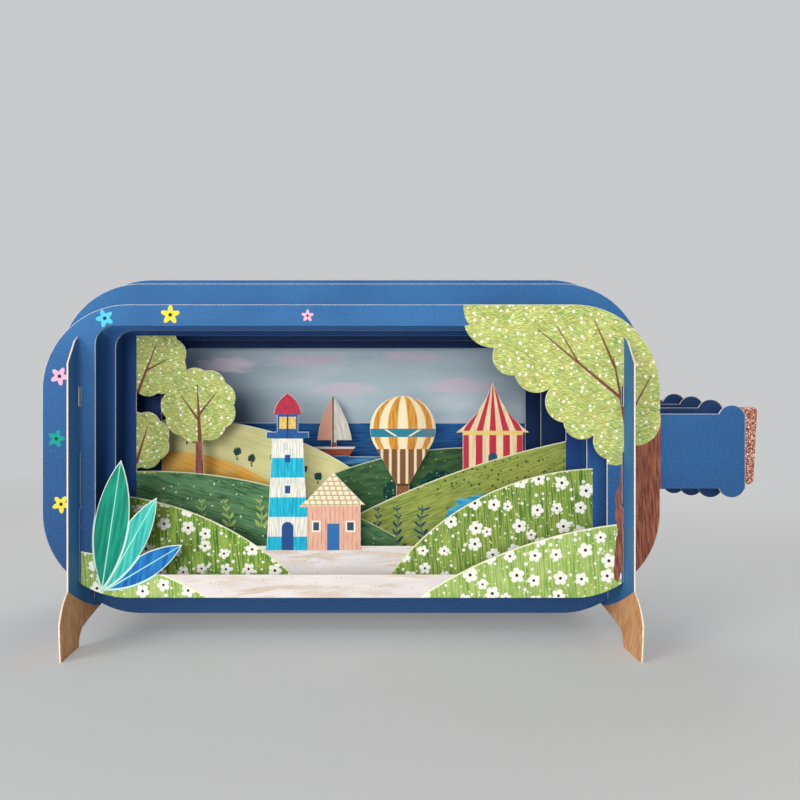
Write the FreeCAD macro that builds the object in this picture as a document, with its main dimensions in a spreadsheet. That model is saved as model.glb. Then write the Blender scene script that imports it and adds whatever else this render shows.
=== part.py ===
import FreeCAD, Part
import math
import os
import Sketcher

# A greeting card that opens into a bottle lying on its side.
# Six die-cut card sheets stand one behind the other and two stand panels cross them in halving slots.
# +X runs along the bottle to its mouth, -Y is the front, +Z is up and the feet stand on z = 0.

Vector = FreeCAD.Vector
doc = FreeCAD.newDocument("bottle_card")
sheet = doc.addObject("Spreadsheet::Sheet", "sizes")

# Sizes in millimetres, measured on the card as it stands
sizes = {
    "card": 0.5,
    "pitch": 15.8,
    "body_length": 198.0,
    "outer_tall": 94.0,
    "inner_tall": 111.8,
    "middle_tall": 119.0,
    "corner": 27.5,
    "ground_gap": 3.3,
    "outer_neck": 24.0,
    "inner_neck": 27.6,
    "third_neck": 30.0,
    "fourth_neck": 32.0,
    "neck_reach": 27.3,
    "lip_length": 8.7,
    "lip_rise": 2.8,
    "front_side": 17.0,
    "front_head": 6.7,
    "front_foot": 7.4,
    "second_side": 19.0,
    "second_head": 15.9,
    "second_foot": 22.7,
    "third_side": 22.0,
    "third_head": 20.0,
    "third_foot": 29.5,
    "fourth_side": 27.4,
    "fourth_head": 20.6,
    "fourth_foot": 35.5,
    "fifth_side": 30.0,
    "fifth_head": 18.9,
    "fifth_foot": 49.9,
    "window_corner": 6.0,
    "stand_inset": 11.4,
    "slot_play": 0.2,
    "lap_play": 0.1,
    "relief_radius": 0.6,
    "latch_width": 1.8,
    "latch_sill": 14.5,
    "latch_head": 20.9,
    "slit_width": 1.3,
    "slit_depth": 17.6,
    "slit_end_radius": 0.9,
    "lower_hole": 24.0,
    "stand_overhang": 10.0,
    "shoulder_inset": 6.5,
    "shoulder_drop": 7.4,
    "shoulder_under": 11.8,
    "crown_rise": 10.0,
    "foot_reach": 17.4,
    "foot_tip": 16.3,
    "foot_heel": 0.2,
    "foot_bulge_height": 11.5,
    "foot_height": 20.0,
    "heel_height": 5.5,
    "heel_run": 4.5,
    "arch_height": 8.6,
    "cork_margin": 1.2,
    "cork_reach": 19.6,
    "cork_glued": 14.0,
    "cork_slant": 1.5,
    "cork_round": 1.5,
}
for row, (alias, value) in enumerate(sizes.items(), start=1):
    sheet.set("A%d" % row, alias)
    sheet.set("B%d" % row, str(value))
    sheet.setAlias("B%d" % row, alias)
doc.recompute()


def number(expression):
    return float(sheet.evalExpression(expression))


def size(alias):
    return number("sizes." + alias)


# The sheets from front to back: how tall each one is and which neck it carries
sheets = {
    "front": ("outer_tall", "outer_neck"),
    "second": ("inner_tall", "inner_neck"),
    "third": ("middle_tall", "third_neck"),
    "fourth": ("middle_tall", "fourth_neck"),
    "fifth": ("inner_tall", "inner_neck"),
    "back": ("outer_tall", "outer_neck"),
}

# Places that several pieces share, as expressions over the sizes
half_body = "sizes.body_length / 2"
mouth = "(sizes.body_length / 2 + sizes.neck_reach)"
stand_place = "(sizes.body_length / 2 - sizes.stand_inset)"
body_shift = "-(sizes.neck_reach + sizes.cork_reach) / 2"
axis_height = "(sizes.middle_tall / 2 + sizes.ground_gap)"
half_depth = "(sizes.pitch * %d / 2)" % (len(sheets) - 1)
half_slot = "(sizes.card + sizes.slot_play) / 2"


def plane_of(name):
    # The sheets stand evenly about the middle of the depth
    return "(%d * sizes.pitch - %s)" % (list(sheets).index(name), half_depth)


def half_tall(name):
    return "(sizes.%s / 2)" % sheets[name][0]


def window_half(name):
    return "(%s - sizes.%s_side)" % (half_body, name)


def window_top(name):
    return "(%s - sizes.%s_head)" % (half_tall(name), name)


def window_sill(name):
    return "(sizes.%s_foot - %s)" % (name, half_tall(name))


# Body, sketch and pad helpers


def new_body(name):
    body = doc.addObject("PartDesign::Body", name)
    body.Label = name
    body.setExpression("Placement.Base.x", body_shift)
    return body


def origin_feature(body, role):
    return [feature for feature in body.Origin.OriginFeatures if feature.Role == role][0]


def new_sketch(body, name, plane="XZ_Plane"):
    sketch = body.newObject("Sketcher::SketchObject", name)
    sketch.AttachmentSupport = [(origin_feature(body, plane), "")]
    sketch.MapMode = "FlatFace"
    return sketch


def rectangle(body, name, left, right, bottom, top, plane="XZ_Plane"):
    # A rectangle whose four sides are bound to expressions measured from the sketch's origin
    sketch = new_sketch(body, name, plane)
    corners = [Vector(-1, -1, 0), Vector(1, -1, 0), Vector(1, 1, 0), Vector(-1, 1, 0)]
    for index in range(4):
        sketch.addGeometry(Part.LineSegment(corners[index], corners[(index + 1) % 4]), False)
    for index in range(4):
        sketch.addConstraint(Sketcher.Constraint("Coincident", index, 2, (index + 1) % 4, 1))
        side = "Horizontal" if index % 2 == 0 else "Vertical"
        sketch.addConstraint(Sketcher.Constraint(side, index))
    sides = [("DistanceX", 0, left, -1), ("DistanceX", 2, right, 1),
             ("DistanceY", 0, bottom, -1), ("DistanceY", 2, top, 1)]
    for kind, corner, expression, start in sides:
        place = sketch.addConstraint(Sketcher.Constraint(kind, -1, 1, corner, 1, start))
        sketch.setExpression("Constraints[%d]" % place, expression)
    return sketch


def drawn(body, name, geometry, plane="XZ_Plane"):
    sketch = new_sketch(body, name, plane)
    sketch.addGeometry(geometry, False)
    return sketch


def pad(body, sketch):
    # Every piece is cut from card, padded evenly about its middle plane
    feature = body.newObject("PartDesign::Pad", sketch.Name + "_pad")
    feature.Profile = sketch
    feature.SideType = "Symmetric"
    feature.setExpression("Length", "sizes.card")
    sketch.Visibility = False
    return feature


def pocket(body, sketch):
    feature = body.newObject("PartDesign::Pocket", sketch.Name + "_cut")
    feature.Profile = sketch
    feature.SideType = "Symmetric"
    feature.Type = "ThroughAll"
    sketch.Visibility = False
    return feature


def round_corners(body, base, corners, radius):
    # Rounds the edges that stand on the named corners, given as (along, up) in the body's own plane
    doc.recompute()
    picked = []
    for place, edge in enumerate(base.Shape.Edges, start=1):
        ends = [vertex.Point for vertex in edge.Vertexes]
        for along, up in corners:
            if all(math.hypot(end.x - along, end.z - up) < size("card") / 10 for end in ends):
                picked.append("Edge%d" % place)
    fillet = body.newObject("PartDesign::Fillet", base.Name + "_round")
    fillet.Base = (base, picked)
    fillet.setExpression("Radius", radius)
    return fillet


# A bulge is a side's rise over its chord, so a half circle's is a half and a balloon's nearly one
HALF_CIRCLE = 0.5


def bulged(corners):
    # A closed outline from (along, up, bulge), where the bulge belongs to the side that follows
    sides = []
    for index, (along, up, bulge) in enumerate(corners):
        start = Vector(along, up, 0)
        after = corners[(index + 1) % len(corners)]
        end = Vector(after[0], after[1], 0)
        if bulge == 0:
            sides.append(Part.LineSegment(start, end))
        else:
            chord = end - start
            middle = (start + end) / 2 + Vector(-chord.y, chord.x, 0) * bulge
            sides.append(Part.Arc(start, middle, end))
    return sides


# Scenery helpers: outlines drawn on a window whose width runs from -1 to 1 and whose height from 0 to 1


def window_point(name, across, up):
    sill = number(window_sill(name))
    return across * number(window_half(name)), sill + up * window_height(name)


def window_height(name):
    return number(window_top(name)) - number(window_sill(name))


def motif(body, name, label, corners):
    outline = [window_point(name, across, up) + (bulge,) for across, up, bulge in corners]
    return pad(body, drawn(body, name + "_" + label, bulged(outline)))


def crown(body, name, label, across, up, radius, lobes, bulge):
    # A round tree crown with lobed edges: its radius is a share of the window's height
    middle_along, middle_up = window_point(name, across, up)
    reach = radius * window_height(name)
    corners = []
    for lobe in range(lobes):
        turn = -2 * math.pi * lobe / lobes
        corners.append((middle_along + reach * math.cos(turn), middle_up + reach * math.sin(turn), bulge))
    return pad(body, drawn(body, name + "_" + label, bulged(corners)))


def blade(body, name, label, foot, tip, bulge):
    return motif(body, name, label, [foot + (bulge,), tip + (bulge,)])


# The bottle sheets


def bottle_sheet(name):
    # Round-cornered body, neck and rolled lip
    body = new_body(name + "_sheet")
    body.setExpression("Placement.Base.z", axis_height)
    body.setExpression("Placement.Base.y", plane_of(name))
    tall = half_tall(name)
    neck = "sizes.%s / 2" % sheets[name][1]
    base = pad(body, rectangle(body, name + "_body", "-" + half_body, half_body, "-" + tall, tall))
    ends = [(side * number(half_body), end * number(tall)) for side in (-1, 1) for end in (-1, 1)]
    round_corners(body, base, ends, "sizes.corner")
    pad(body, rectangle(body, name + "_neck", half_body + " - sizes.corner", mouth, "-" + neck, neck))
    flank = number(neck) + size("lip_rise") - size("lip_length") / 2
    outer = number(mouth)
    inner = outer - size("lip_length")
    lip = [(inner, -flank, 0), (inner, flank, HALF_CIRCLE), (outer, flank, 0), (outer, -flank, HALF_CIRCLE)]
    pad(body, drawn(body, name + "_lip", bulged(lip)))
    return body


def hole(body, name, radius, along, below):
    # A round hole so far along the bottle and so far below its axis
    sketch = new_sketch(body, name)
    sketch.addGeometry(Part.Circle(Vector(number(along), -1, 0), Vector(0, 0, 1), 1), False)
    bound = [("Radius", (0, 1), radius), ("DistanceX", (-1, 1, 0, 3, 1), along),
             ("DistanceY", (-1, 1, 0, 3, -1), "-" + below)]
    for kind, target, expression in bound:
        place = sketch.addConstraint(Sketcher.Constraint(kind, *target))
        sketch.setExpression("Constraints[%d]" % place, expression)
    return sketch


def cut_slots(body, name):
    # A slot from the lower edge to the axis, ending in a small relief hole, mirrored to the other side
    slot = pocket(body, rectangle(body, name + "_slot", stand_place + " - " + half_slot,
                                  stand_place + " + " + half_slot,
                                  "-2 * " + half_tall(name), "-sizes.relief_radius"))
    relief = pocket(body, hole(body, name + "_relief", "sizes.relief_radius", stand_place,
                               "sizes.relief_radius"))
    mirrored = body.newObject("PartDesign::Mirrored", name + "_slots")
    mirrored.Originals = [slot, relief]
    mirrored.MirrorPlane = (origin_feature(body, "YZ_Plane"), [""])
    body.Tip = mirrored


def cut_latches(body, name):
    # A short latch opening above the axis, and a wider stretch of the slot below it with round ends
    def beside_stand(label, width, bottom, top):
        return pocket(body, rectangle(body, name + label, "%s - sizes.%s / 2" % (stand_place, width),
                                      "%s + sizes.%s / 2" % (stand_place, width), bottom, top))

    cuts = [beside_stand("_latch", "latch_width", "sizes.latch_sill", "sizes.latch_head"),
            beside_stand("_slit", "slit_width", "-sizes.slit_depth", "-sizes.relief_radius")]
    for label, depth, radius in [("_slit_end", "slit_depth", "slit_end_radius"),
                                 ("_lower_hole", "lower_hole", "relief_radius")]:
        cuts.append(pocket(body, hole(body, name + label, "sizes." + radius, stand_place, "sizes." + depth)))
    mirrored = body.newObject("PartDesign::Mirrored", name + "_latches")
    mirrored.Originals = cuts
    mirrored.MirrorPlane = (origin_feature(body, "YZ_Plane"), [""])
    body.Tip = mirrored


def cut_window(body, name):
    half = window_half(name)
    window = pocket(body, rectangle(body, name + "_window", "-" + half, half,
                                    window_sill(name), window_top(name)))
    tops = [(side * number(half), number(window_top(name))) for side in (-1, 1)]
    round_corners(body, window, tops, "sizes.window_corner")


# Front sheet: a low bank at the right, reeds at the left and leafy boughs in the upper right corner
front = bottle_sheet("front")
cut_window(front, "front")
motif(front, "front", "bank", [(0.36, -0.03, 0.05), (1.02, 0.2, 0), (1.02, -0.03, 0)])
blade(front, "front", "tall_reed", (-0.975, -0.06), (-0.9, 0.46), 0.13)
blade(front, "front", "leaning_reed", (-0.965, -0.06), (-0.76, 0.31), 0.13)
blade(front, "front", "low_reed", (-0.955, -0.06), (-0.66, 0.12), 0.14)
motif(front, "front", "boughs",
      [(0.44, 1.02, -0.2), (0.56, 0.91, -0.3), (0.64, 0.8, -0.28), (0.78, 0.75, -0.3),
       (0.83, 0.61, -0.3), (0.95, 0.56, -0.25), (1.02, 0.46, 0), (1.02, 1.02, 0)])
cut_slots(front, "front")
cut_latches(front, "front")

# Second sheet: two banks with the path between them, a lighthouse and the keeper's hut
second = bottle_sheet("second")
cut_window(second, "second")
motif(second, "second", "left_bank", [(-1.02, -0.03, 0), (-1.02, 0.24, 0.07), (-0.36, -0.03, 0)])
motif(second, "second", "right_bank", [(0.24, -0.03, 0.1), (1.02, 0.36, 0), (1.02, -0.03, 0)])
motif(second, "second", "tower",
      [(-0.36, -0.03, 0), (-0.335, 0.5, 0), (-0.36, 0.5, 0), (-0.36, 0.53, 0),
       (-0.315, 0.53, 0), (-0.315, 0.61, 0), (-0.33, 0.61, 0.12), (-0.27, 0.71, 0.12),
       (-0.21, 0.61, 0), (-0.225, 0.61, 0), (-0.225, 0.53, 0), (-0.18, 0.53, 0),
       (-0.18, 0.5, 0), (-0.205, 0.5, 0), (-0.18, -0.03, 0)])
motif(second, "second", "hut",
      [(-0.19, -0.03, 0), (-0.19, 0.19, 0), (-0.21, 0.19, 0), (-0.075, 0.34, 0),
       (0.06, 0.19, 0), (0.04, 0.19, 0), (0.04, -0.03, 0)])
cut_slots(second, "second")

# Third sheet: a hill with a striped tent and a landed balloon at the right, a meadow and trees at the left
third = bottle_sheet("third")
cut_window(third, "third")
motif(third, "third", "hill", [(-0.15, -0.03, 0.04), (1.02, 0.46, 0), (1.02, -0.03, 0)])
motif(third, "third", "meadow", [(-1.02, -0.03, 0), (-1.02, 0.3, 0.07), (0.2, -0.03, 0)])
motif(third, "third", "balloon",
      [(0.21, 0.137, 0), (0.21, 0.23, 0), (0.115, 0.422, 0.961), (0.366, 0.422, 0),
       (0.27, 0.23, 0), (0.27, 0.137, 0)])
motif(third, "third", "tent",
      [(0.52, 0.2, 0), (0.52, 0.5, 0), (0.49, 0.5, -0.08), (0.66, 0.76, -0.08),
       (0.83, 0.5, 0), (0.8, 0.5, 0), (0.8, 0.3, 0)])
motif(third, "third", "trunk", [(-0.73, 0.1, 0), (-0.725, 0.55, 0), (-0.695, 0.55, 0), (-0.68, 0.1, 0)])
crown(third, "third", "tall_crown", -0.71, 0.64, 0.18, 9, 0.22)
crown(third, "third", "high_crown", -0.93, 0.87, 0.17, 9, 0.22)
crown(third, "third", "low_crown", -0.98, 0.46, 0.14, 8, 0.22)
cut_slots(third, "third")

# Fourth sheet: a pale hill at the left and a dark one at the right
fourth = bottle_sheet("fourth")
cut_window(fourth, "fourth")
motif(fourth, "fourth", "pale_hill",
      [(-1.02, -0.03, 0), (-1.02, 0.52, 0.1), (0.16, 0.1, 0), (0.16, -0.03, 0)])
motif(fourth, "fourth", "dark_hill",
      [(-0.1, -0.03, 0), (-0.1, 0.2, 0.07), (1.02, 0.32, 0), (1.02, -0.03, 0)])
cut_slots(fourth, "fourth")

# Fifth sheet: a headland and a sailing boat
fifth = bottle_sheet("fifth")
cut_window(fifth, "fifth")
motif(fifth, "fifth", "headland", [(-1.02, -0.03, 0), (-1.02, 0.24, 0.08), (-0.42, -0.03, 0)])
motif(fifth, "fifth", "hull",
      [(-0.165, -0.03, 0), (-0.215, 0.09, 0), (0.025, 0.09, 0), (-0.025, -0.03, 0)])
motif(fifth, "fifth", "sail",
      [(-0.115, 0.05, 0), (-0.115, 0.15, 0), (-0.195, 0.15, 0.06), (-0.105, 0.56, 0.06),
       (0.005, 0.15, 0), (-0.085, 0.15, 0), (-0.085, 0.05, 0)])
cut_slots(fifth, "fifth")

# Back sheet: the whole bottle with no window, printed with sky and sea
back = bottle_sheet("back")
cut_slots(back, "back")

# Cork: a tab of glitter card glued behind the third sheet's neck, its free end a little slanted
cork = new_body("cork")
cork.setExpression("Placement.Base.z", axis_height)
cork.setExpression("Placement.Base.y", plane_of("third") + " + sizes.card")
cork_half = size("third_neck") / 2 - size("cork_margin")
cork_end = number(mouth) + size("cork_reach")
cork_foot = cork_end - size("cork_slant")
cork_start = number(mouth) - size("cork_glued")
cork_outline = [(cork_start, -cork_half, 0), (cork_start, cork_half, 0),
                (cork_end, cork_half, 0), (cork_foot, -cork_half, 0)]
cork_tab = pad(cork, drawn(cork, "cork_outline", bulged(cork_outline)))
round_corners(cork, cork_tab, [(cork_end, cork_half), (cork_foot, -cork_half)], "sizes.cork_round")

# Stand panels: flared feet front and back, a low arch between them and slots from the top edge to the axis


def stand_panel(name, side):
    body = new_body(name)
    body.setExpression("Placement.Base.x", "%s %s %s" % (body_shift, side, stand_place))
    depth = number(half_depth)
    edge = depth + size("stand_overhang")
    shoulder = edge - size("shoulder_inset")
    top = number("%s + sizes.outer_tall / 2 - sizes.shoulder_under" % axis_height)
    heel = depth - size("foot_heel")
    arch = heel - size("heel_run")
    rear_half = [(shoulder, top, 0), (edge, top - size("shoulder_drop"), 0),
                 (edge, size("foot_height"), 0.1),
                 (depth + size("foot_reach"), size("foot_bulge_height"), 0.02),
                 (depth + size("foot_tip"), 0, 0), (heel, 0, -0.2), (arch, size("heel_height"), 0)]
    mirrored = [(-along, up) for along, up, _ in reversed(rear_half)]
    side_bulges = [bulge for _, _, bulge in reversed(rear_half[:-1])]
    crown_bulge = size("crown_rise") / (2 * shoulder)
    arch_bulge = (size("heel_height") - size("arch_height")) / (2 * arch)
    front_half = [point + (bulge,) for point, bulge in zip(mirrored, side_bulges + [crown_bulge])]
    rear_half[-1] = rear_half[-1][:2] + (arch_bulge,)
    pad(body, drawn(body, name + "_outline", bulged(rear_half + front_half), "YZ_Plane"))
    front_plane = plane_of("front")
    slot = pocket(body, rectangle(body, name + "_slot", "%s - %s" % (front_plane, half_slot),
                                  "%s + %s" % (front_plane, half_slot), axis_height + " - sizes.lap_play",
                                  axis_height + " * 2 + sizes.outer_tall", "YZ_Plane"))
    doc.recompute()
    row = body.newObject("PartDesign::LinearPattern", name + "_slots")
    row.Originals = [slot]
    row.Direction = (slot.Profile[0], ["H_Axis"])
    row.setExpression("Length", "2 * " + half_depth)
    row.Occurrences = len(sheets)
    body.Tip = row
    return body


left_stand = stand_panel("left_stand", "-")
right_stand = stand_panel("right_stand", "+")

# Build, check and write every piece
doc.recompute()
pieces = [front, second, third, fourth, fifth, back, cork, left_stand, right_stand]
for thing in doc.Objects:
    if "Invalid" in thing.State or "Error" in thing.State:
        raise RuntimeError("failed: " + thing.Name)
os.makedirs("parts", exist_ok=True)
for piece in pieces:
    shape = piece.Shape
    if shape.isNull() or not shape.isValid() or len(shape.Solids) != 1:
        raise RuntimeError("bad solid: " + piece.Label)
    shape.exportStep("parts/%s.step" % piece.Label)
    box = shape.BoundBox
    print(piece.Label, round(shape.Volume, 1), "x %.1f to %.1f y %.1f to %.1f z %.1f to %.1f"
          % (box.XMin, box.XMax, box.YMin, box.YMax, box.ZMin, box.ZMax))
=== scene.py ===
import math

import bpy
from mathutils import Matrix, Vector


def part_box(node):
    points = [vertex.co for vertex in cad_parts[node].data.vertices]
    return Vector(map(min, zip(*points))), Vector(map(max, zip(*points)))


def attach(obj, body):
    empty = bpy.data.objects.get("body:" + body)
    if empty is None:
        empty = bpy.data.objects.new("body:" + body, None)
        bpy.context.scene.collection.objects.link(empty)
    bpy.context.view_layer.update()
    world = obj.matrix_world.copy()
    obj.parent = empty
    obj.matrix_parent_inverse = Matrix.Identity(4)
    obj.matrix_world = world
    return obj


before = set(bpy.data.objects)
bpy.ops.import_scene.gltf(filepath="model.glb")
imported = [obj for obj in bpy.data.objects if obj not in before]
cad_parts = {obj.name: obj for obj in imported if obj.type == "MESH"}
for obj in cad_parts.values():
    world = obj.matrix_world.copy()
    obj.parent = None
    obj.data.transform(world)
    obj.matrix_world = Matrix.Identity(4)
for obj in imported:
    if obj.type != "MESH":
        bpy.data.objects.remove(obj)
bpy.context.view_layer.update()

# Back sheet: the whole bottle in one closed card, the last of the six.
# Its front carries the far picture, a grey sky with rosy clouds over a calm sea.
# Every sheet is white-cored card, printed bottle blue on both sides and die cut, so its cut edge is cream.
# Print is laid out in mm from the middle of the bottle's body, along and up.
MM_IN_METRE = 1000
BOTTLE_MIDDLE = (-23.45, 62.8)
BODY_END = 99.2
KNIFE_RIM = 0.0004  # metres of ink turned over beside a cut


class Ink:
    """One socket of a card's node tree. Sums on it add the tree's own Math nodes."""

    def __init__(self, socket):
        self.socket = socket

    def node(self, kind, settings, sockets, give=0):
        """Any node: its settings are set first, then the values or links of its sockets."""
        tree = self.socket.id_data
        made = tree.nodes.new(kind)
        for name, setting in settings.items():
            setattr(made, name, setting)
        for name, value in sockets.items():
            if isinstance(value, Ink):
                tree.links.new(value.socket, made.inputs[name])
            else:
                made.inputs[name].default_value = value
        return Ink(made.outputs[give])

    def beside(self, name):
        """Another output of the same node."""
        return Ink(self.socket.node.outputs[name])

    def into(self, node, name):
        """Links this to a socket of a shader or an output node."""
        self.socket.id_data.links.new(self.socket, node.inputs[name])

    def calc(self, operation, *values, **settings):
        return self.node("ShaderNodeMath", {"operation": operation, **settings}, dict(enumerate(values)))

    def turned(self, operation, *values, give=0):
        return self.node("ShaderNodeVectorMath", {"operation": operation}, dict(enumerate(values)), give)

    def __add__(self, other):
        return self.calc("ADD", self, other)

    def __sub__(self, other):
        return self.calc("SUBTRACT", self, other)

    def __rsub__(self, other):
        return self.calc("SUBTRACT", other, self)

    def __mul__(self, other):
        return self.calc("MULTIPLY", self, other)

    def __truediv__(self, other):
        return self.calc("DIVIDE", self, other)

    def __rtruediv__(self, other):
        return self.calc("DIVIDE", other, self)

    def __neg__(self):
        return self * -1.0

    def __abs__(self):
        return self.calc("ABSOLUTE", self)

    def __and__(self, other):
        return self.calc("MINIMUM", self, other)

    def __or__(self, other):
        return self.calc("MAXIMUM", self, other)

    __radd__ = __add__
    __rmul__ = __mul__


def tint(code):
    """A printing ink from its hex code."""
    parts = [int(code[place:place + 2], 16) / 255 for place in (1, 3, 5)]
    linear = [part / 12.92 if part <= 0.04045 else ((part + 0.055) / 1.055) ** 2.4 for part in parts]
    return (*linear, 1.0)


def blend(under, ink, amount):
    """One colour into another by an amount from 0 to 1."""
    return amount.node("ShaderNodeMix", {"data_type": "RGBA"}, {0: amount, 6: under, 7: ink}, 2)


def over(under, ink, shape, soft):
    """Prints an ink inside a shape. A shape is the distance in mm in from its own edge."""
    return blend(under, ink, shape.calc("MULTIPLY_ADD", shape, 1 / soft, 0.5, use_clamp=True))


def grain(spot, across, up, turn=0.0, detail=2.0, seed=0.0):
    """Uneven ink whose marks are so many mm across and up, turned in the sheet."""
    place = spot.node("ShaderNodeMapping", {"vector_type": "TEXTURE"},
                      {"Vector": spot, "Location": (seed, seed, 0), "Rotation": (0, 0, turn),
                       "Scale": (across, up, 1)})
    return spot.node("ShaderNodeTexNoise", {"noise_dimensions": "2D"},
                     {"Vector": place, "Scale": 1.0, "Detail": detail})


def streaks(noise, contrast):
    """Noise pulled apart into an amount from 0 to 1."""
    return noise.calc("MULTIPLY_ADD", noise, contrast, 0.5 - contrast / 2, use_clamp=True)


def apart(spot):
    """How far along and how far up a place is."""
    split = spot.node("ShaderNodeSeparateXYZ", {}, {0: spot}, "X")
    return split, split.beside("Y")


def box(spot, left, right, bottom, top):
    across, up = apart(spot)
    return (across - left) & (right - across) & (up - bottom) & (top - up)


def bare_finish(name):
    """A new material and its shader."""
    material = bpy.data.materials.new(name)
    material.use_nodes = True
    return material, material.node_tree.nodes["Principled BSDF"]


def dress(mesh, material):
    mesh.materials.clear()
    mesh.materials.append(material)


def card(name, picture, faces="y", core_dark="#f0e4d2", core_pale="#fffaf2"):
    """Gives a card that faces along x or y its blue, its picture, a linen grain and cream cut edges."""
    material, shader = bare_finish(name + "_card")
    start = Ink(shader.outputs[0])
    place = start.node("ShaderNodeTexCoord", {}, {}, "Object")
    place = start.node("ShaderNodeMapping", {},
                       {"Vector": place, "Location": (-BOTTLE_MIDDLE[0], 0, -BOTTLE_MIDDLE[1]),
                        "Scale": (MM_IN_METRE, MM_IN_METRE, MM_IN_METRE)})
    x = start.node("ShaderNodeSeparateXYZ", {}, {0: place}, "X")
    y, z = x.beside("Y"), x.beside("Z")
    along = x if faces == "y" else y
    spot = start.node("ShaderNodeCombineXYZ", {}, {"X": along, "Y": z})

    # Bottle blue, paler towards the top, laid a little unevenly
    blue = blend(tint("#1c4475"), tint("#3470a8"), z.calc("MULTIPLY_ADD", z, 0.011, 0.5, use_clamp=True))
    blue = blend(blue, tint("#1a4178"), streaks(grain(spot, 34, 22, seed=7), 2.2) * 0.35)
    weave = z.calc("SINE", z * 9.0) * z.calc("SINE", along * 9.0)
    weave = weave + (grain(spot, 0.7, 0.7, detail=3) - 0.5) * 3.0
    blue = blend(blue, tint("#5f92c4"), weave.calc("MULTIPLY_ADD", weave, 0.12, 0.04, use_clamp=True))
    blue = blend(blue, tint("#12305e"), weave.calc("MULTIPLY_ADD", weave, -0.16, 0.04, use_clamp=True))
    colour = picture(spot, blue)

    # A sheet has its picture on the front face only. The cut edge shows the card's cream core, and the knife
    # leaves a thin pale rim round it where the ink is turned over.
    # The rim also carries painted shade: it fades out where its rounded edge faces down.
    normal = start.node("ShaderNodeNewGeometry", {}, {}, "True Normal")
    facing = start.node("ShaderNodeSeparateXYZ", {}, {0: normal}, "X")
    face = facing.beside("Y") if faces == "y" else facing
    if faces == "y":
        colour = blend(colour, blue, face.calc("GREATER_THAN", face, 0.5))
    rounded = start.node("ShaderNodeBevel", {"samples": 6}, {"Radius": KNIFE_RIM})
    worn = rounded.turned("DOT_PRODUCT", rounded, normal, give="Value")
    rim = worn.calc("MULTIPLY_ADD", worn, -12.0, 12.0, use_clamp=True)
    # Painted shade: the pale rim is weakened where the rounded edge's normal points down, and kept where it
    # faces up or sideways
    upward = start.node("ShaderNodeSeparateXYZ", {}, {0: rounded}, "Z")
    rim = rim * upward.calc("MULTIPLY_ADD", upward, 4.0, 1.1, use_clamp=True)
    cut = face.calc("LESS_THAN", abs(face), 0.5) | rim * 0.9
    core = blend(tint(core_dark), tint(core_pale), streaks(grain(spot, 0.5, 0.5, detail=4), 3.0))
    blend(colour, core, cut).into(shader, "Base Color")

    fibre = grain(spot, 0.16, 0.16, detail=3, seed=3) + weave * 0.25
    rough = fibre.calc("MULTIPLY_ADD", fibre, 0.16, 0.56, use_clamp=True) + cut * 0.25
    rough.into(shader, "Roughness")
    bump = start.node("ShaderNodeBump", {},
                      {"Strength": 0.35, "Distance": 0.00003, "Height": fibre, "Normal": rounded}, "Normal")
    bump.into(shader, "Normal")
    shader.inputs["Specular IOR Level"].default_value = 0.22
    dress(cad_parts[name].data, material)


def shaded_inside_bottle(spot, blue, depth):
    """Painted shade: the blue turns to the sheet's own navy where it is seen through the window in front of
    it, and to navy on its neck, where the sheets in front shade it.
    """
    # depth is the navy ink of this sheet's painted shade in its window; the neck's navy is painted shade too
    neck = box(spot, BODY_END, 140.0, -25.0, 25.0)
    window = box(spot, -83.0, 83.0, -49.0, 41.0)
    return over(over(blue, tint("#1b3a66"), neck, 0.2), tint(depth), window, 2.4)


def sky_and_sea(spot, blue):
    across, up = apart(spot)
    sky = blend(tint("#cfe3e8"), tint("#e2f0f1"), streaks(grain(spot, 30, 7, 0.05), 2.6))
    # Painted shade: the sky darkens towards the lower left, where the frames in front shade it
    sky = over(sky, tint("#6c7c90"), -across * 0.9 - up * 1.2 - 16.0, 70.0)
    warp = (grain(spot, 8, 2.2, seed=11, detail=3) - 0.5) * 1.6
    clouds = [(-52, 31, 12, 3.0), (-19, 33, 13, 2.6), (26, 34.5, 14, 2.0),
              (-4, 21, 11, 2.4), (46, 22, 13, 3.2)]
    for middle, height, length, rise in clouds:
        reach = spot.node("ShaderNodeMapping", {"vector_type": "TEXTURE"},
                          {"Vector": spot, "Location": (middle, height, 0), "Scale": (length, rise, 1)})
        cloud = 1.0 - spot.turned("LENGTH", reach, give="Value") + warp
        sky = over(sky, tint("#efe4ec"), cloud, 0.5)
    sea = blend(tint("#14589c"), tint("#0c4280"), up.calc("MULTIPLY_ADD", up, -0.1, 0.3, use_clamp=True))
    sea = blend(sea, tint("#3c88c8"), streaks(grain(spot, 17, 0.9, 0.01, seed=5), 5.0) * 0.55)
    picture = over(sky, sea, 6.8 - up, 0.4)
    picture = over(picture, tint("#d8dde0"), 0.22 - abs(up - 6.9 + (grain(spot, 6, 1) - 0.5) * 0.4), 0.25)
    return over(shaded_inside_bottle(spot, blue, "#1f4377"), picture, box(spot, -80.0, 80.0, -40.0, 44.0), 0.3)


card("back_sheet", sky_and_sea)

# Fifth sheet: a frame of card whose sill is the farthest shore.
# A wooded headland and a small sailing boat are left standing on the sill when the window is cut.


def disc(spot, across, up, radius):
    return radius - spot.turned("DISTANCE", spot, (across, up, 0), give="Value")


def under_arc(spot, start, end, bulge):
    """What lies to the right of an arc that swells to the left by a share of its chord."""
    chord = math.dist(start, end)
    radius = chord * (0.25 + bulge * bulge) / (2 * bulge)
    drop = bulge - radius / chord
    centre = [(start[0] + end[0]) / 2 - (end[1] - start[1]) * drop,
              (start[1] + end[1]) / 2 + (end[0] - start[0]) * drop]
    return disc(spot, *centre, radius)


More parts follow.
